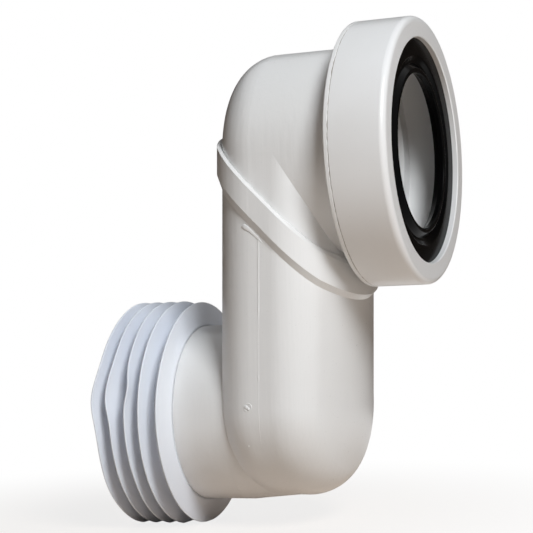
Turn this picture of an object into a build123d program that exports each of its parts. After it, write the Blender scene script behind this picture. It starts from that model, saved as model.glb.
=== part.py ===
from build123d import *
from math import cos, radians, sin, sqrt, tan
import os

# Offset toilet pan connector: the inlet faces +X at the top, the finned outlet faces -X at the bottom.
# Millimetres and degrees. X lies along the inlet and outlet axes, Z is up.
# The part is symmetric about Y = 0.
# The origin is on the outlet axis, in the plane of the middle fin.

# Main layout
axis_offset = 133.0
leg_lean = 2.5
wall = 3.0
overlap = 0.5

# Flattened leg, as wide as the inlet pipe: bulged front and back faces, flat sides, rounded corners
leg_half_depth = 34.0
leg_face_radius = 125.0
leg_corner = 22.0

# Upper elbow: distances are from the crossing of the inlet axis and the leg
inlet_radius = 56.0
flange_start = 38.3
flange_thickness = 2.4
flange_round = 0.6

# Retaining ring and the cup that it covers
ring_radius = 69.0
ring_length = 29.1
ring_skirt = 3.2
ring_face = 11.0
ring_lip = 3.0
ring_edge = 3.2
mouth_round = 0.6
seam_bevel = 0.35
cup_wall = 3.0
cup_clearance = 0.25
bead_height = 0.7
bead_width = 1.0
bead_play = 0.5
bead_from_flange = 9.0

# Inlet seal: flat rim, groove and a rounded lip round the hole
seal_rim_thickness = 4.6
seal_clearance = 0.3
seal_overhang = 18.0
seal_flat = 9.0
seal_flat_round = 1.5
seal_groove_inset = 12.4
seal_groove_depth = 2.5
seal_groove_round = 1.5
seal_lip_stand = 0.6
seal_lip_width = 2.2
seal_lip_round = 0.8
seal_land = 2.9
seal_back_flare = 2.5
seal_back_inset = 2.0
seal_back_drop = 5.7

# Slanted joint: the upper elbow is bonded into a socket at the top of the lower body
joint_slope = 46.1
joint_clearance = 0.25
socket_wall = 2.5
socket_rim = 112.0
socket_band = 15.5
socket_underside = 5.2
socket_seat = 12.6
socket_chamfer = 1.2

# Lower elbow and outlet: distances are from the crossing of the outlet axis and the leg
outlet_radius = 46.6
outlet_reach = 94.5
heel_start = 5.0
heel_depth = 44.0
branch_taper = 2.8
taper_start = 26.0
taper_end = 4.0
spigot_start = 53.1
spigot_step = 2.0
spigot_edge = 0.8
bore_taper = 5.0

# Finned outlet sleeve, fins listed from the leg to the open end
sleeve_clearance = 0.12
sleeve_thickness = 2.2
fin_tips = (55.6, 66.0, 74.1, 82.3, 90.3)
fin_radii = (59.4, 60.2, 60.2, 60.2, 60.2)
fin_root = 2.8
fin_edge = 0.9
fin_sweep = 1.85

# Derived places
lean = tan(radians(leg_lean))
slope = tan(radians(joint_slope))
lean_way = Vector(sin(radians(leg_lean)), 0, cos(radians(leg_lean)))
slant_way = Vector(slope, 0, 1)
cross_x = fin_tips[2]
outlet_x = cross_x - outlet_reach
spigot_x = cross_x - spigot_start
inlet_x = cross_x + axis_offset * lean
flange_x = inlet_x + flange_start
ring_x = flange_x + flange_thickness
front_x = ring_x + ring_length
lip_x = front_x - ring_lip
cup_front = lip_x - seal_rim_thickness
bead_x = ring_x + bead_from_flange
heel_reach = heel_start + heel_depth
spigot_radius = outlet_radius - spigot_step
inlet_bore = inlet_radius - wall
outlet_bore = outlet_radius - wall
spigot_bore = spigot_radius - wall
ring_mouth = ring_radius - ring_face
seal_hole = ring_mouth - seal_overhang
skirt_bore = ring_radius - ring_skirt
cup_outer = skirt_bore - cup_clearance
cup_inner = cup_outer - cup_wall
band_low = socket_rim - socket_band
band_foot = band_low - socket_underside
seat = socket_rim - socket_seat
leg_top = axis_offset + inlet_radius
leg_base = heel_start


def leg_x(height):
    # Place of the leaning leg's axis at a height
    return cross_x + height * lean


def corner_at(face, x, y):
    # Corner of a flat profile at a known place
    return face.vertices().filter_by(lambda v: abs(v.X - x) < 0.01 and abs(v.Y - y) < 0.01)


def face_edge(depth, radius, width):
    # Depth that a bulged face has left at a distance from its middle
    return depth - radius + sqrt(radius**2 - width**2)


def plan(height, grow=0.0):
    # Section of the leg: two bulged faces, two flat sides, four rounded corners
    depth = leg_half_depth + grow
    width = inlet_radius + grow
    edge = face_edge(depth, leg_face_radius + grow, width)
    outline = ThreePointArc((edge, -width), (depth, 0), (edge, width))
    outline += Line((edge, width), (-edge, width))
    outline += ThreePointArc((-edge, width), (-depth, 0), (-edge, -width))
    outline += Line((-edge, -width), (edge, -width))
    face = make_face(outline)
    return Pos(leg_x(height), 0, height) * fillet(face.vertices(), leg_corner + grow)


def leg(bottom, top, grow=0.0):
    # Leaning prism between two heights
    return extrude(plan(bottom, grow), amount=(top - bottom) / lean_way.Z, dir=lean_way)


def slant(height):
    # Joint plane: crosses the leg's axis at this height and falls towards +X
    return Plane(origin=(leg_x(height), 0, height), x_dir=(0, 1, 0), z_dir=slant_way)


def below(solid, height):
    return split(solid, bisect_by=slant(height), keep=Keep.BOTTOM)


def above(solid, height):
    return split(solid, bisect_by=slant(height), keep=Keep.TOP)


def slant_face(solid, height):
    # Slanted section of a leaning prism
    return below(solid, height).faces().sort_by(Axis((0, 0, 0), slant_way))[-1]


def rod(start, end, radius, height):
    # Round bar along X
    ends = (Align.CENTER, Align.CENTER, Align.MIN)
    return Pos(start, 0, height) * Rot(0, 90, 0) * Cylinder(radius, end - start, align=ends)


def turned(points, height):
    # Solid of revolution about a pipe axis from (x, radius) points
    face = make_face(Polyline(*points, close=True))
    return Pos(0, 0, height) * revolve(face, axis=Axis.X)


def rounded_end(grow=0.0):
    # Closed end of an elbow: the leg's own outline turned about X, upper half kept
    depth = leg_half_depth + grow
    radius = inlet_radius + grow
    face_radius = leg_face_radius + grow
    edge = face_edge(depth, face_radius, radius)
    middle = face_edge(depth, face_radius, radius / 2)
    outline = ThreePointArc((-depth, 0), (-middle, radius / 2), (-edge, radius))
    outline += Line((-edge, radius), (edge, radius))
    outline += ThreePointArc((edge, radius), (middle, radius / 2), (depth, 0))
    outline += Line((depth, 0), (-depth, 0))
    face = make_face(outline)
    corners = corner_at(face, -edge, radius) + corner_at(face, edge, radius)
    body = revolve(fillet(corners, leg_corner + grow), axis=Axis.X)
    return split(body, bisect_by=Plane.XY, keep=Keep.TOP)


def upper_end(grow=0.0):
    # Half of the rounded end that faces away from the inlet, on the inlet axis
    half = split(rounded_end(grow), bisect_by=Plane.YZ, keep=Keep.BOTTOM)
    return Pos(inlet_x, 0, axis_offset) * half


def lower_end(grow=0.0):
    # Rounded end turned downwards and drawn in to the depth of the heel
    flat = (heel_reach + grow) / (inlet_radius + grow)
    return Pos(leg_x(heel_start), 0, heel_start) * Rot(180, 0, 0) * scale(rounded_end(grow), by=(1, 1, flat))


def bead(x, radius, height, width):
    # Trapezium section of a snap bead
    low = width / 2 + height
    high = width / 2
    return [(x - low, radius), (x - high, radius + height), (x + high, radius + height), (x + low, radius)]


# Lower body, outside: outlet branch, rounded heel, flattened leg and slanted socket
collar_long = leg(leg_base, leg_top, joint_clearance + socket_wall)
shaft_long = leg(heel_start, leg_top)
collar = above(below(collar_long, socket_rim), band_low)
rim = collar.faces().sort_by(Axis((0, 0, 0), slant_way))[-1]
collar = chamfer(rim.edges(), socket_chamfer)
underside = loft([slant_face(shaft_long, band_foot), slant_face(collar_long, band_low)], ruled=True)
taper_x = cross_x - taper_start
branch_x = cross_x + taper_end
branch = [(spigot_x, 0), (spigot_x, outlet_radius), (taper_x, outlet_radius)]
branch += [(branch_x, outlet_radius - branch_taper), (branch_x, 0)]
spigot = rod(outlet_x, spigot_x, spigot_radius, 0)
spigot = chamfer(spigot.edges().group_by(Axis.X)[0], spigot_edge)
lower_outer = below(shaft_long, band_foot) + lower_end() + turned(branch, 0) + spigot + underside + collar

# Lower body, inside: stepped and tapered bore, heel, leg and socket
bore = [(outlet_x - overlap, 0), (outlet_x - overlap, spigot_bore), (spigot_x, spigot_bore)]
bore += [(spigot_x + bore_taper, outlet_bore), (taper_x, outlet_bore)]
bore += [(branch_x, outlet_bore - branch_taper), (branch_x, 0)]
inlet_relief = rod(inlet_x, flange_x, inlet_radius + joint_clearance, axis_offset)
lower_body = lower_outer - below(leg(heel_start, leg_top, -wall), seat)
lower_body -= above(leg(leg_base, leg_top, joint_clearance), seat)
lower_body -= lower_end(-wall)
lower_body -= turned(bore, 0)
lower_body -= inlet_relief

# Upper elbow: rounded closed end, inlet pipe, flattened leg cut on the slant, flange and seal cup
elbow_long = leg(leg_base, axis_offset)
elbow = above(elbow_long + upper_end(), seat)
elbow += rod(inlet_x, flange_x, inlet_radius, axis_offset) - elbow_long
flange = rod(flange_x, ring_x, ring_radius, axis_offset)
flange = fillet(flange.edges().group_by(Axis.X)[0], flange_round)
flange = chamfer(flange.edges().group_by(Axis.X)[-1], seam_bevel)
elbow += flange + rod(ring_x, cup_front, cup_outer, axis_offset)
elbow += turned(bead(bead_x, cup_outer - overlap, bead_height + overlap, bead_width), axis_offset)
hollow = upper_end(-wall) + leg(leg_base, axis_offset, -wall)
hollow += rod(inlet_x, ring_x + overlap, inlet_bore, axis_offset)
hollow += rod(ring_x, cup_front + overlap, cup_inner, axis_offset)
upper_elbow = elbow - hollow

# Retaining ring: skirt over the cup, lip in front of the seal, groove for the cup's bead
ring_outline = [(ring_x, skirt_bore), (ring_x, ring_radius), (front_x, ring_radius)]
ring_outline += [(front_x, ring_mouth), (lip_x, ring_mouth), (lip_x, skirt_bore)]
ring = make_face(Polyline(*ring_outline, close=True))
ring = fillet(corner_at(ring, front_x, ring_radius), ring_edge)
ring = fillet(corner_at(ring, front_x, ring_mouth), mouth_round)
ring = chamfer(corner_at(ring, ring_x, ring_radius), seam_bevel)
retaining_ring = Pos(0, 0, axis_offset) * revolve(ring, axis=Axis.X)
groove = bead(bead_x, skirt_bore - overlap, bead_height + overlap, bead_width + 2 * bead_play)
retaining_ring -= turned(groove, axis_offset)

# Inlet seal: clamped rim, groove, rounded lip with a short land, flared back
flat_edge = ring_mouth - seal_flat
groove_x = lip_x - seal_groove_depth
groove_radius = ring_mouth - seal_groove_inset
lip_front = lip_x + seal_lip_stand
lip_back = lip_front - seal_land
lip_top = seal_hole + seal_lip_width
flare_x = lip_x - seal_back_drop
rim_radius = skirt_bore - seal_clearance
seal_outline = [(cup_front, rim_radius), (lip_x, rim_radius), (lip_x, flat_edge)]
seal_outline += [(groove_x, groove_radius), (lip_front, lip_top), (lip_front, seal_hole)]
seal_outline += [(lip_back, seal_hole), (flare_x, seal_hole + seal_back_flare)]
seal_outline += [(cup_front, cup_inner - seal_back_inset)]
seal = make_face(Polyline(*seal_outline, close=True))
seal = fillet(corner_at(seal, lip_x, flat_edge), seal_flat_round)
seal = fillet(corner_at(seal, groove_x, groove_radius), seal_groove_round)
lip_corners = corner_at(seal, lip_front, lip_top) + corner_at(seal, lip_front, seal_hole)
seal = fillet(lip_corners, seal_lip_round)
inlet_seal = Pos(0, 0, axis_offset) * revolve(seal, axis=Axis.X)

# Outlet sleeve: thin tube over the spigot with swept, tapered fins
sleeve_bore = spigot_radius + sleeve_clearance
sleeve_radius = spigot_radius + sleeve_thickness
sleeve = [(outlet_x, sleeve_bore), (outlet_x, sleeve_radius)]
sleeve += [(spigot_x, sleeve_radius), (spigot_x, sleeve_bore)]
outlet_fin_seal = turned(sleeve, 0)
for tip, radius in zip(fin_tips, fin_radii):
    front = cross_x - tip - fin_edge / 2
    back = front + fin_edge
    root = back + fin_sweep
    base = sleeve_radius - overlap
    outlet_fin_seal += turned([(front, radius), (back, radius), (root, base), (root - fin_root, base)], 0)

os.makedirs("parts", exist_ok=True)
export_step(lower_body, "parts/lower_body.step")
export_step(upper_elbow, "parts/upper_elbow.step")
export_step(retaining_ring, "parts/retaining_ring.step")
export_step(inlet_seal, "parts/inlet_seal.step")
export_step(outlet_fin_seal, "parts/outlet_fin_seal.step")
for name, node in (("lower body", lower_body), ("upper elbow", upper_elbow), ("ring", retaining_ring)):
    print(name, round(node.volume), len(node.solids()))
for name, node in (("inlet seal", inlet_seal), ("fin seal", outlet_fin_seal)):
    print(name, round(node.volume), len(node.solids()))
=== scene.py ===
import bpy
import numpy as np
from mathutils import Matrix, Vector


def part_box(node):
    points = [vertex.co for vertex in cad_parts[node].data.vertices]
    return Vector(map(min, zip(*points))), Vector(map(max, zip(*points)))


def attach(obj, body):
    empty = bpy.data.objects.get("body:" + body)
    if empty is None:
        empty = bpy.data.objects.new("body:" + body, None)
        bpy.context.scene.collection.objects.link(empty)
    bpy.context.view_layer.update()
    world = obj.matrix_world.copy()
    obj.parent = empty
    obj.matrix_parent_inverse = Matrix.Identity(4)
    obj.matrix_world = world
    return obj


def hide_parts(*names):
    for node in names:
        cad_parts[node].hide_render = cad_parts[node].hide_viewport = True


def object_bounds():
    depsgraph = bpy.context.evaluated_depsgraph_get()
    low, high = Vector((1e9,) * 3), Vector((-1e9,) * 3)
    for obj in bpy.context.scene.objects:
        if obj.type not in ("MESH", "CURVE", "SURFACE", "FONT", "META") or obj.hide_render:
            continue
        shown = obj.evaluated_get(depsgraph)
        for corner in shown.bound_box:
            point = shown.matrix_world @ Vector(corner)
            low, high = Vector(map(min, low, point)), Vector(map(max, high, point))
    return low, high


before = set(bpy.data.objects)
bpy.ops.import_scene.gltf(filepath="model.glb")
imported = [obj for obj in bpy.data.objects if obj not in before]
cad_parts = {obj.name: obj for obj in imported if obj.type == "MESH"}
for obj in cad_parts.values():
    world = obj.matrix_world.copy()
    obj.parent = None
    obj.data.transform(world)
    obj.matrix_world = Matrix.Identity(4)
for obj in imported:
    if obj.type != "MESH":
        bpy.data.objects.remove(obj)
cadLow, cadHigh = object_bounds()
print("stage: frame loaded")

millimetre = 0.001
fullTurn = 2.0 * np.pi
nearSide = -1.0  # the side of the leg that the camera sees, towards -Y
farSide = 1.0
whole = (0.0, 1.0)
white = (1.0, 1.0, 1.0, 1.0)


# Bell: 1 at its middle, falling off over its reach on both sides
def bell(value, middle, reach):
    return np.exp(-0.5 * ((value - middle) / reach) ** 2)


# Smooth step from 0 to 1 between two values
def rise(value, start, end):
    part = np.clip((value - start) / (end - start), 0.0, 1.0)
    return part * part * (3.0 - 2.0 * part)


# Straight climb from a start to 1 as its part goes from 0 to 1
def upFrom(start, part):
    return start + (1.0 - start) * part


# Mesh from points and faces, smooth shaded, linked at the origin
def meshObject(name, points, faces):
    mesh = bpy.data.meshes.new(name)
    mesh.from_pydata(points.tolist(), [], faces)
    mesh.shade_smooth()
    mesh.update()
    piece = bpy.data.objects.new(name, mesh)
    bpy.context.scene.collection.objects.link(piece)
    return piece


# Tube: a row of rings with one quad to each cell; its ends are joined, or else closed by one face each
def tubeObject(name, points, joined):
    rows, columns = points.shape[:2]
    row = np.arange(rows if joined else rows - 1)[:, None]
    column = np.arange(columns)[None, :]
    nextRow = (row + 1) % rows
    nextColumn = (column + 1) % columns
    corners = (row * columns + column, row * columns + nextColumn,
               nextRow * columns + nextColumn, nextRow * columns + column)
    faces = np.stack(corners, axis=-1).reshape(-1, 4).tolist()
    if not joined:
        ring = np.arange(columns)
        last = (rows - 1) * columns + ring
        faces += [ring[::-1].tolist(), last.tolist()]
    return meshObject(name, points.reshape(-1, 3), faces)


# Noise at a spot, finer as its scale grows
def noise(tree, spot, scale, detail):
    node = tree.nodes.new("ShaderNodeTexNoise")
    node.inputs["Scale"].default_value = scale
    node.inputs["Detail"].default_value = detail
    tree.links.new(spot, node.inputs["Vector"])
    return node.outputs["Fac"]


# Value moved from one span to another, straight or smooth
def mapRange(tree, value, span, result, blend="LINEAR"):
    node = tree.nodes.new("ShaderNodeMapRange")
    node.interpolation_type = blend
    for socket, limit in zip(("From Min", "From Max", "To Min", "To Max"), (*span, *result)):
        node.inputs[socket].default_value = limit
    tree.links.new(value, node.inputs["Value"])
    return node.outputs["Result"]


# Two values put together by one operation
def combine(tree, operation, first, second, clamp=False):
    node = tree.nodes.new("ShaderNodeMath")
    node.operation = operation
    node.use_clamp = clamp
    tree.links.new(first, node.inputs[0])
    tree.links.new(second, node.inputs[1])
    return node.outputs["Value"]


# Bump of a depth, from a height
def bump(tree, height, strength, depth):
    node = tree.nodes.new("ShaderNodeBump")
    node.inputs["Strength"].default_value = strength
    node.inputs["Distance"].default_value = depth
    tree.links.new(height, node.inputs["Height"])
    return node


# Two shaders mixed by a share and sent to the surface of an output
def mixSurface(tree, share, first, second, output):
    mix = tree.nodes.new("ShaderNodeMixShader")
    tree.links.new(share, mix.inputs[0])
    tree.links.new(first, mix.inputs[1])
    tree.links.new(second, mix.inputs[2])
    tree.links.new(mix.outputs["Shader"], tree.nodes[output].inputs["Surface"])


bodyLook = {"light": (0.815, 0.82, 0.825), "dark": (0.77, 0.77, 0.768), "patch": 9.0, "grain": 900.0,
            "gloss": (0.24, 0.36), "relief": 0.05, "sheen": 0.5, "streak": 0.25}
# The ring's dark seam colour is painted shade for the crack between flange and ring, with some dirt
ringLook = {"light": (0.81, 0.815, 0.825), "dark": (0.765, 0.765, 0.765), "patch": 11.0, "grain": 1100.0,
            "gloss": (0.24, 0.36), "relief": 0.05, "sheen": 0.5, "seamShadeAndDirt": (0.30, 0.265, 0.235)}
finLook = {"light": (0.845, 0.88, 0.94), "dark": (0.78, 0.82, 0.90), "patch": 14.0, "grain": 700.0,
           "gloss": (0.40, 0.54), "relief": 0.06, "sheen": 0.4}
sealLook = {"light": (0.0024, 0.0024, 0.0026), "dark": (0.0012, 0.0012, 0.0013), "patch": 20.0,
            "grain": 900.0, "gloss": (0.16, 0.22), "relief": 0.012, "sheen": 0.035}
# What the finishes share; the seam is a span of x at the back edge of the ring, where painted shade and some
# dirt darken it
mould = {"cloudDetail": 4.0, "cloudSpan": (0.35, 0.65), "grainDetail": 2.0, "grainDepth": 0.0002,
         "seam": (0.1207, 0.1211), "fleckScale": 260.0, "fleckDetail": 2.0, "fleckSpan": (0.15, 0.60),
         "streakStretch": (1.0, 1.0, 0.02), "streakScale": 420.0, "streakDetail": 3.0, "streakDepth": 0.0004}


# Cloudy colour: broad noise, ramped between two close colours
def cloudTint(tree, spot, look):
    tint = tree.nodes.new("ShaderNodeValToRGB")
    shades = (look["dark"], look["light"])
    for stop, position, shade in zip(tint.color_ramp.elements, mould["cloudSpan"], shades):
        stop.position = position
        stop.color = (*shade, 1.0)
    cloud = noise(tree, spot, look["patch"], mould["cloudDetail"])
    tree.links.new(cloud, tint.inputs["Fac"])
    return tint.outputs["Color"]


# Painted shade and dirt in the seam: flecks of a darker colour that fade out along x, away from the flange;
# the shade stands in for the shadow of the crack between flange and ring
def paintSeamShadeAndDirt(tree, spot, clean, seamShadeAndDirt):
    axes = tree.nodes.new("ShaderNodeSeparateXYZ")
    tree.links.new(spot, axes.inputs["Vector"])
    near = mapRange(tree, axes.outputs["X"], mould["seam"], (1.0, 0.0))
    fleck = noise(tree, spot, mould["fleckScale"], mould["fleckDetail"])
    spread = mapRange(tree, fleck, mould["fleckSpan"], whole)
    mix = tree.nodes.new("ShaderNodeMix")
    mix.data_type = "RGBA"
    mix.inputs["B"].default_value = (*seamShadeAndDirt, 1.0)
    tree.links.new(combine(tree, "MULTIPLY", near, spread), mix.inputs["Factor"])
    tree.links.new(clean, mix.inputs["A"])
    return mix.outputs["Result"]


# Draw marks: noise stretched along the leg, as fine upright folds
def drawStreaks(tree, spot, strength):
    stretch = tree.nodes.new("ShaderNodeMapping")
    stretch.inputs["Scale"].default_value = mould["streakStretch"]
    tree.links.new(spot, stretch.inputs["Vector"])
    streak = noise(tree, stretch.outputs["Vector"], mould["streakScale"], mould["streakDetail"])
    return bump(tree, streak, strength, mould["streakDepth"]).outputs["Normal"]


# Moulded finish: cloudy colour, fine grain in gloss and bump, with painted seam shade and dirt, or streaks,
# where the look has them
def mouldedFinish(name, look):
    material = bpy.data.materials.new(name)
    material.use_nodes = True
    tree = material.node_tree
    shader = tree.nodes["Principled BSDF"]
    shader.inputs["Specular IOR Level"].default_value = look["sheen"]
    spot = tree.nodes.new("ShaderNodeTexCoord").outputs["Object"]
    color = cloudTint(tree, spot, look)
    # Darker seam flecks on the ring: painted shade with some dirt
    if "seamShadeAndDirt" in look:
        color = paintSeamShadeAndDirt(tree, spot, color, look["seamShadeAndDirt"])
    grain = noise(tree, spot, look["grain"], mould["grainDetail"])
    relief = bump(tree, grain, look["relief"], mould["grainDepth"])
    if "streak" in look:
        tree.links.new(drawStreaks(tree, spot, look["streak"]), relief.inputs["Normal"])
    tree.links.new(color, shader.inputs["Base Color"])
    tree.links.new(mapRange(tree, grain, whole, look["gloss"]), shader.inputs["Roughness"])
    tree.links.new(relief.outputs["Normal"], shader.inputs["Normal"])
    return material


finishes = {"body_plastic": mouldedFinish("bodyPlastic", bodyLook),
            "ring_plastic": mouldedFinish("ringPlastic", ringLook),
            "seal_rubber": mouldedFinish("sealRubber", sealLook),
            "fin_rubber": mouldedFinish("finRubber", finLook)}
nodeSlots = {"lower_body": "body_plastic", "upper_elbow": "body_plastic", "retaining_ring": "ring_plastic",
             "inlet_seal": "seal_rubber"}
for node, slot in nodeSlots.items():
    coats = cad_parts[node].data.materials
    coats.clear()
    coats.append(finishes[slot])
print("stage: materials", len(finishes))


# Finish of a slot put on a new piece, which rides on the single body
def dress(piece, slot):
    piece.data.materials.append(finishes[slot])
    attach(piece, "root")


sleeveLow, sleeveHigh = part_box("outlet_fin_seal")
# Kinks push a rim along the axis: (millimetres, middle, reach below, reach above), degrees from the -Y side
sleeve = {"bore": 0.04472, "tube": 0.0468, "edge": 0.0009, "root": 0.0028, "sweep": 0.00185,
          "fillet": 0.0007, "filletPower": 5, "bendPower": 1.5, "floor": -0.0592,
          "faceSteps": 9, "edgeSteps": 7, "turnSteps": 420,
          "tips": (-0.0162, -0.0082, 0.0, 0.0081, 0.0185),
          "radii": (0.0602, 0.0602, 0.0602, 0.0602, 0.0594),
          "kinks": (((-2.8, 11.0, 9.0, 9.0), (0.55, 62.0, 14.0, 14.0), (-0.6, -38.0, 12.0, 12.0)),
                    ((-2.75, 12.5, 7.5, 11.0), (-0.45, 55.0, 16.0, 16.0)),
                    ((1.5, 17.0, 5.0, 5.0), (-0.5, 70.0, 16.0, 16.0), (0.5, -35.0, 14.0, 14.0)),
                    (),
                    ((-0.6, 5.0, 18.0, 18.0),))}


# One fin from its front root over its rounded rim to its back root: rows of x, radius and share of its height
def finSection(tip, radius):
    half = sleeve["edge"] / 2
    share = np.linspace(0.0, 1.0, sleeve["faceSteps"])
    flare = sleeve["fillet"] * (1.0 - share) ** sleeve["filletPower"]
    climb = sleeve["tube"] + (radius - half - sleeve["tube"]) * share
    backFoot = half + sleeve["sweep"]
    frontFoot = backFoot - sleeve["root"]
    front = np.stack((tip + frontFoot + (-half - frontFoot) * share - flare, climb, share))
    back = np.stack((tip + backFoot + (half - backFoot) * share + flare, climb, share))
    turn = np.linspace(np.pi, 0.0, sleeve["edgeSteps"] + 2)[1:-1]
    rim = np.stack((tip + half * np.cos(turn), radius - half + half * np.sin(turn), np.ones_like(turn)))
    return np.concatenate((front, rim, back[:, ::-1]), axis=1)


# Sleeve: fin sections in a row, closed through the bore and turned round the axis, each rim pushed along it
def finSleeve():
    angle = np.linspace(-180.0, 180.0, sleeve["turnSteps"], endpoint=False)
    rowsX = [np.full((2, len(angle)), sleeveLow[0])]
    rowsRadius = [(sleeve["bore"], sleeve["tube"])]
    for tip, radius, kinks in zip(sleeve["tips"], sleeve["radii"], sleeve["kinks"]):
        x, out, share = finSection(tip, radius)
        push = np.zeros_like(angle)
        for size, middle, below, above in kinks:
            push += millimetre * size * bell(angle, middle, np.where(angle < middle, below, above))
        rowsX.append(x[:, None] + share[:, None] ** sleeve["bendPower"] * push)
        rowsRadius.append(out)
    rowsX.append(np.full((2, len(angle)), sleeveHigh[0]))
    rowsRadius.append((sleeve["tube"], sleeve["bore"]))
    out = np.concatenate(rowsRadius)[:, None]
    turn = np.radians(angle)
    height = np.maximum(out * np.sin(turn), sleeve["floor"])  # flat where it rests on the floor
    points = np.stack((np.concatenate(rowsX), -out * np.cos(turn), height), axis=-1)
    # The rows run from back to front, so that the faces point outwards
    return tubeObject("finSleeve", points[::-1], joined=True)


finPiece = finSleeve()
dress(finPiece, "fin_rubber")
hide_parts("outlet_fin_seal")
print("stage: sleeve", len(finPiece.data.polygons))

leg = {"x": 0.0741, "lean": 2.5, "half": 0.056, "corner": 0.022, "flat": 0.00623,
       "heel": 0.005, "squash": 0.875}


# Skin of the leg and heel on one side: points and outward normals at places across and heights
def legSkin(across, height, side):
    out = np.sign(across) * np.maximum(np.abs(across) - leg["flat"], 0.0)
    inner = np.sqrt(leg["corner"] ** 2 - out ** 2)
    radius = leg["half"] - leg["corner"] + inner
    sine = np.maximum(leg["heel"] - height, 0.0) / (radius * leg["squash"])
    cosine = np.sqrt(1.0 - sine ** 2)
    x = leg["x"] + np.maximum(height, leg["heel"]) * np.tan(np.radians(leg["lean"])) + across
    points = np.stack((x, side * radius * cosine, height), axis=-1)
    normals = np.stack((out / inner, side * cosine, -sine / leg["squash"]), axis=-1)
    return points, normals / np.linalg.norm(normals, axis=1)[:, None]


ridgeShape = {"steps": 12, "root": 0.00015}


# Ridge: half an ellipse above the skin and a shallow root below it, carried along a path, open or joined
def ridge(name, points, normals, half, height, joined=False):
    if joined:
        tangent = np.roll(points, -1, axis=0) - np.roll(points, 1, axis=0)
    else:
        tangent = np.gradient(points, axis=0)
    side = np.cross(normals, tangent)
    side /= np.linalg.norm(side, axis=1)[:, None]
    turn = np.linspace(0.0, fullTurn, ridgeShape["steps"], endpoint=False)
    spread = half[:, None] * np.cos(turn)
    lift = np.sin(turn) * np.where(np.sin(turn) > 0.0, height[:, None], ridgeShape["root"])
    grid = points[:, None, :] + spread[:, :, None] * side[:, None, :] + lift[:, :, None] * normals[:, None, :]
    return tubeObject(name, grid, joined)


parting = {"across": -0.0007, "drift": 0.0008, "top": 0.0925, "bottom": -0.0135, "steps": 260,
           "half": 0.00028, "height": 0.00022, "faint": 0.35, "strong": (0.046, 0.056),
           "ticks": (0.0547, 0.0208), "tickReach": 0.0009, "tickRise": 0.9,
           "fadeLength": 0.008, "thinEnd": 0.3, "lowEnd": 0.05,
           "leastSpread": 0.8, "spreadGain": 0.4, "mostStrength": 1.5}


# Parting line: a fine ridge down the leg and round the heel, strong at the top, with two short swellings
def partingLine(name, side):
    z = np.linspace(parting["top"], parting["bottom"], parting["steps"])
    across = parting["across"] - parting["drift"] * rise(z, leg["heel"], parting["bottom"])
    points, normals = legSkin(across, z, side)
    swell = sum(bell(z, tick, parting["tickReach"]) for tick in parting["ticks"])
    strength = upFrom(parting["faint"], rise(z, *parting["strong"])) + parting["tickRise"] * swell
    fade = rise(z, parting["bottom"], parting["bottom"] + parting["fadeLength"])
    spread = parting["leastSpread"] + parting["spreadGain"] * np.minimum(strength, parting["mostStrength"])
    half = parting["half"] * upFrom(parting["thinEnd"], fade) * spread
    height = parting["height"] * strength * upFrom(parting["lowEnd"], fade)
    return ridge(name, points, normals, half, height)


nubSteps = 40
# Path as (across, height) and half widths along it in millimetres, greatest height in metres
nubs = {"glueRun": {"path": ((-10.3, 96.0), (-9.6, 96.5), (-8.6, 96.6), (-7.2, 95.8), (-5.6, 94.6),
                             (-3.6, 92.8), (-1.6, 90.9), (0.3, 88.9), (1.6, 87.6)),
                    "widths": (0.1, 0.95, 1.35, 1.3, 1.05, 0.85, 0.7, 0.45, 0.05), "height": 0.0005},
        "gateStub": {"path": ((-8.6, 6.3), (-8.2, 6.3), (-7.5, 6.2), (-6.8, 6.1), (-6.4, 6.0)),
                     "widths": (0.1, 0.9, 1.2, 0.9, 0.1), "height": 0.0005},
        "gateTip": {"path": ((-6.3, 6.2), (-6.25, 5.9), (-6.2, 5.4), (-6.1, 4.9), (-6.05, 4.7)),
                    "widths": (0.05, 0.4, 0.5, 0.4, 0.05), "height": 0.0006},
        "heelSpeck": {"path": ((-9.0, -13.9), (-8.6, -13.7), (-8.2, -13.5)),
                      "widths": (0.1, 0.4, 0.1), "height": 0.00025}}


# Nub: a low dome along a short path on the near side of the leg, highest where it is widest
def nub(name):
    shape = nubs[name]
    knots = np.linspace(0.0, 1.0, len(shape["path"]))
    along = np.linspace(0.0, 1.0, nubSteps)
    across, z = (millimetre * np.interp(along, knots, values) for values in np.array(shape["path"]).T)
    points, normals = legSkin(across, z, nearSide)
    half = millimetre * np.interp(along, knots, shape["widths"])
    return ridge(name, points, normals, half, shape["height"] * half / half.max())


# Waves round the ring are (count, size, shift)
gate = {"across": -0.0067, "height": 0.0061, "radius": 0.0020, "steps": 48, "half": 0.00030, "stand": 0.00012,
        "waves": ((2.0, 0.35, 0.6), (5.0, 0.2, 0.0))}


# Gate mark: a low uneven ring on the near side of the leg
def gateRing():
    turn = np.linspace(0.0, fullTurn, gate["steps"], endpoint=False)
    across = gate["across"] + gate["radius"] * np.cos(turn)
    height = gate["height"] + gate["radius"] * np.sin(turn)
    points, normals = legSkin(across, height, nearSide)
    wave = 1.0 + sum(size * np.sin(count * turn + shift) for count, size, shift in gate["waves"])
    return ridge("gateRing", points, normals, gate["half"] * wave, gate["stand"] * wave, joined=True)


# Ragged is the middle and reach in degrees from the -Y side; base, gain, least and most shape stand and half
flash = {"x": 0.1206, "radius": 0.06868, "height": 0.133, "steps": 900, "ragged": (0.0, 24.0), "calm": 0.2,
         "seed": 11, "waves": 14, "counts": (9, 120), "shifts": (0.0, 6.28), "softness": 5.0,
         "wander": 0.00008, "wanderCount": 17.0, "wanderShift": 1.0,
         "stand": 0.0003, "standBase": 0.55, "standGain": 1.0, "standSpan": (0.1, 1.6),
         "half": 0.00022, "halfBase": 0.8, "halfGain": 0.4, "halfSpan": (0.4, 1.3)}


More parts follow.
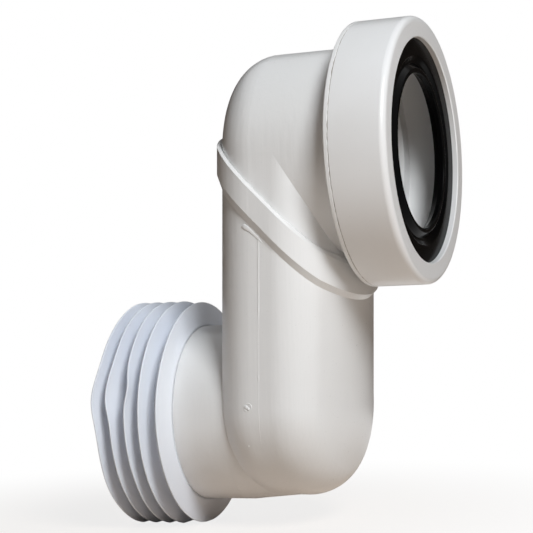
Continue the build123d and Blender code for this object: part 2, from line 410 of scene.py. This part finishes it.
# Flash: a thread of plastic in the seam between the flange and the ring, its height a sum of random waves
def seamFlash():
    turn = np.linspace(0.0, fullTurn, flash["steps"], endpoint=False)
    dice = np.random.default_rng(flash["seed"])
    counts = dice.integers(*flash["counts"], flash["waves"])
    shifts = dice.uniform(*flash["shifts"], flash["waves"])
    rough = sum(np.sin(count * turn + shift) for count, shift in zip(counts, shifts)) / flash["softness"]
    angle = np.degrees(np.arctan2(np.sin(turn), np.cos(turn)))
    rough *= upFrom(flash["calm"], bell(angle, *flash["ragged"]))
    normals = np.stack((np.zeros_like(turn), -np.cos(turn), np.sin(turn)), axis=-1)
    points = flash["radius"] * normals + np.array((flash["x"], 0.0, flash["height"]))
    points[:, 0] += flash["wander"] * np.sin(flash["wanderCount"] * turn + flash["wanderShift"])
    stand = flash["stand"] * np.clip(flash["standBase"] + flash["standGain"] * rough, *flash["standSpan"])
    half = flash["half"] * np.clip(flash["halfBase"] + flash["halfGain"] * rough, *flash["halfSpan"])
    return ridge("seamFlash", points, normals, half, stand, joined=True)


marks = (partingLine("partingLine", nearSide), partingLine("partingLineFar", farSide), nub("glueRun"),
         gateRing(), nub("gateStub"), nub("gateTip"), nub("heelSpeck"))
for piece in marks:
    dress(piece, "body_plastic")
dress(seamFlash(), "ring_plastic")
print("stage: small marks", len(marks) + 1)

view = {"place": (0.3856, -0.7915, 0.0629), "azimuth": 22.51, "lean": 2.49, "lens": 108.07, "sensor": 36.0,
        "clip": 0.01}


# Camera: turned about Z by its azimuth, then leaned in the plane of the pipe axes
def takeView():
    turn = np.radians(view["azimuth"])
    lean = np.radians(view["lean"])
    right = (np.cos(turn) * np.cos(lean), np.sin(turn), -np.cos(turn) * np.sin(lean))
    up = (np.sin(lean), 0.0, np.cos(lean))
    back = (np.sin(turn) * np.cos(lean), -np.cos(turn), -np.sin(turn) * np.sin(lean))
    camera = bpy.data.objects.new("camera", bpy.data.cameras.new("camera"))
    camera.data.sensor_width = view["sensor"]
    camera.data.lens = view["lens"]
    camera.data.clip_start = view["clip"]
    camera.matrix_world = Matrix((*zip(right, up, back, view["place"]), (0.0, 0.0, 0.0, 1.0)))
    bpy.context.scene.collection.objects.link(camera)
    bpy.context.scene.camera = camera


takeView()
print("stage: camera")

studio = {"ambient": 0.03, "ambientColor": (1.0, 0.95, 0.89), "floor": (0.75, 0.64, 0.545), "floorSize": 3.0,
          "clear": (0.08, 0.32), "shadowShare": 0.2, "matt": 0.9}
lamps = {"key": {"from": (0.84, -0.75, 0.82), "size": 0.45, "power": 14.8, "color": (0.952, 0.98, 1.0),
                 "shine": True},
         "sky": {"from": (-0.05, 0.05, 1.30), "size": 0.9, "power": 0.5, "color": (0.93, 0.965, 1.0),
                 "shine": True},
         "back": {"from": (-0.46, 1.05, 0.24), "size": 0.7, "power": 7.5, "color": (0.97, 0.985, 1.0),
                  "shine": False}}
flags = {"color": (0.06, 0.042, 0.03), "top": 0.62,
         "line": ((-0.12, -0.95), (-0.42, -0.42), (-0.42, 0.45), (0.42, 0.55), (0.85, 0.20))}


# Rays that see the white background: camera, glossy and transmission rays added
def backgroundRays(tree):
    path = tree.nodes.new("ShaderNodeLightPath")
    some = combine(tree, "ADD", path.outputs["Is Camera Ray"], path.outputs["Is Glossy Ray"])
    return combine(tree, "ADD", some, path.outputs["Is Transmission Ray"], clamp=True)


# World: dim soft light for the object, plain white for the background rays
def lightWorld():
    world = bpy.data.worlds.new("studio")
    bpy.context.scene.world = world
    world.use_nodes = True
    tree = world.node_tree
    soft = tree.nodes["Background"]
    soft.inputs["Color"].default_value = (*studio["ambientColor"], 1.0)
    soft.inputs["Strength"].default_value = studio["ambient"]
    plain = tree.nodes.new("ShaderNodeBackground")
    plain.inputs["Color"].default_value = white
    plain.inputs["Strength"].default_value = 1.0
    rays = backgroundRays(tree)
    mixSurface(tree, rays, soft.outputs["Background"], plain.outputs["Background"], "World Output")


# Matt material of one plain colour
def mattMaterial(name, color):
    material = bpy.data.materials.new(name)
    material.use_nodes = True
    shader = material.node_tree.nodes["Principled BSDF"]
    shader.inputs["Base Color"].default_value = (*color, 1.0)
    shader.inputs["Roughness"].default_value = studio["matt"]
    return material


# Floor: pale and matt near the object, white to the background rays further off; near the object the camera
# sees a share of it, which keeps the shadow
def layFloor():
    reach = studio["floorSize"]
    corners = np.array(((-reach, -reach), (reach, -reach), (reach, reach), (-reach, reach)))
    points = np.column_stack((corners, np.full(len(corners), sleeve["floor"])))
    floor = meshObject("floor", points, [[0, 1, 2, 3]])
    material = mattMaterial("paleFloor", studio["floor"])
    tree = material.node_tree
    plain = tree.nodes.new("ShaderNodeEmission")
    plain.inputs["Color"].default_value = white
    plain.inputs["Strength"].default_value = 1.0
    away = tree.nodes.new("ShaderNodeVectorMath")
    away.operation = "LENGTH"
    tree.links.new(tree.nodes.new("ShaderNodeTexCoord").outputs["Object"], away.inputs[0])
    clear = mapRange(tree, away.outputs["Value"], studio["clear"], whole, "SMOOTHSTEP")
    bright = mapRange(tree, clear, whole, (1.0 - studio["shadowShare"], 1.0))
    path = tree.nodes.new("ShaderNodeLightPath")
    seen = combine(tree, "MULTIPLY", bright, path.outputs["Is Camera Ray"])
    mirrored = combine(tree, "MULTIPLY", clear, backgroundRays(tree))
    share = combine(tree, "MAXIMUM", seen, mirrored)
    shader = tree.nodes["Principled BSDF"]
    mixSurface(tree, share, shader.outputs["BSDF"], plain.outputs["Emission"], "Material Output")
    floor.data.materials.append(material)


# Flags: one folded dark screen, unseen by the camera, darkens the edges that are turned from the light
def standFlags():
    line = np.array(flags["line"])
    low = np.column_stack((line, np.full(len(line), sleeve["floor"])))
    high = np.column_stack((line, np.full(len(line), flags["top"])))
    first = np.arange(len(line) - 1)
    faces = np.stack((first, first + 1, first + 1 + len(line), first + len(line)), axis=-1)
    screen = meshObject("flagScreen", np.concatenate((low, high)), faces.tolist())
    screen.data.materials.append(mattMaterial("darkFlag", flags["color"]))
    screen.visible_camera = False
    screen.visible_shadow = False


# Square soft lamps, each aimed at the middle of the object
def hangLamps():
    middle = (Vector(cadLow) + Vector(cadHigh)) / 2
    for name, lamp in lamps.items():
        light = bpy.data.lights.new(name, "AREA")
        light.size = lamp["size"]
        light.energy = lamp["power"]
        light.color = lamp["color"]
        holder = bpy.data.objects.new(name, light)
        holder.visible_glossy = lamp["shine"]
        spot = Vector(lamp["from"])
        aim = (middle - spot).to_track_quat("-Z", "Y")
        holder.matrix_world = Matrix.Translation(spot) @ aim.to_matrix().to_4x4()
        bpy.context.scene.collection.objects.link(holder)


lightWorld()
layFloor()
standFlags()
hangLamps()
bpy.context.scene.view_settings.view_transform = "Standard"
print("stage: studio")
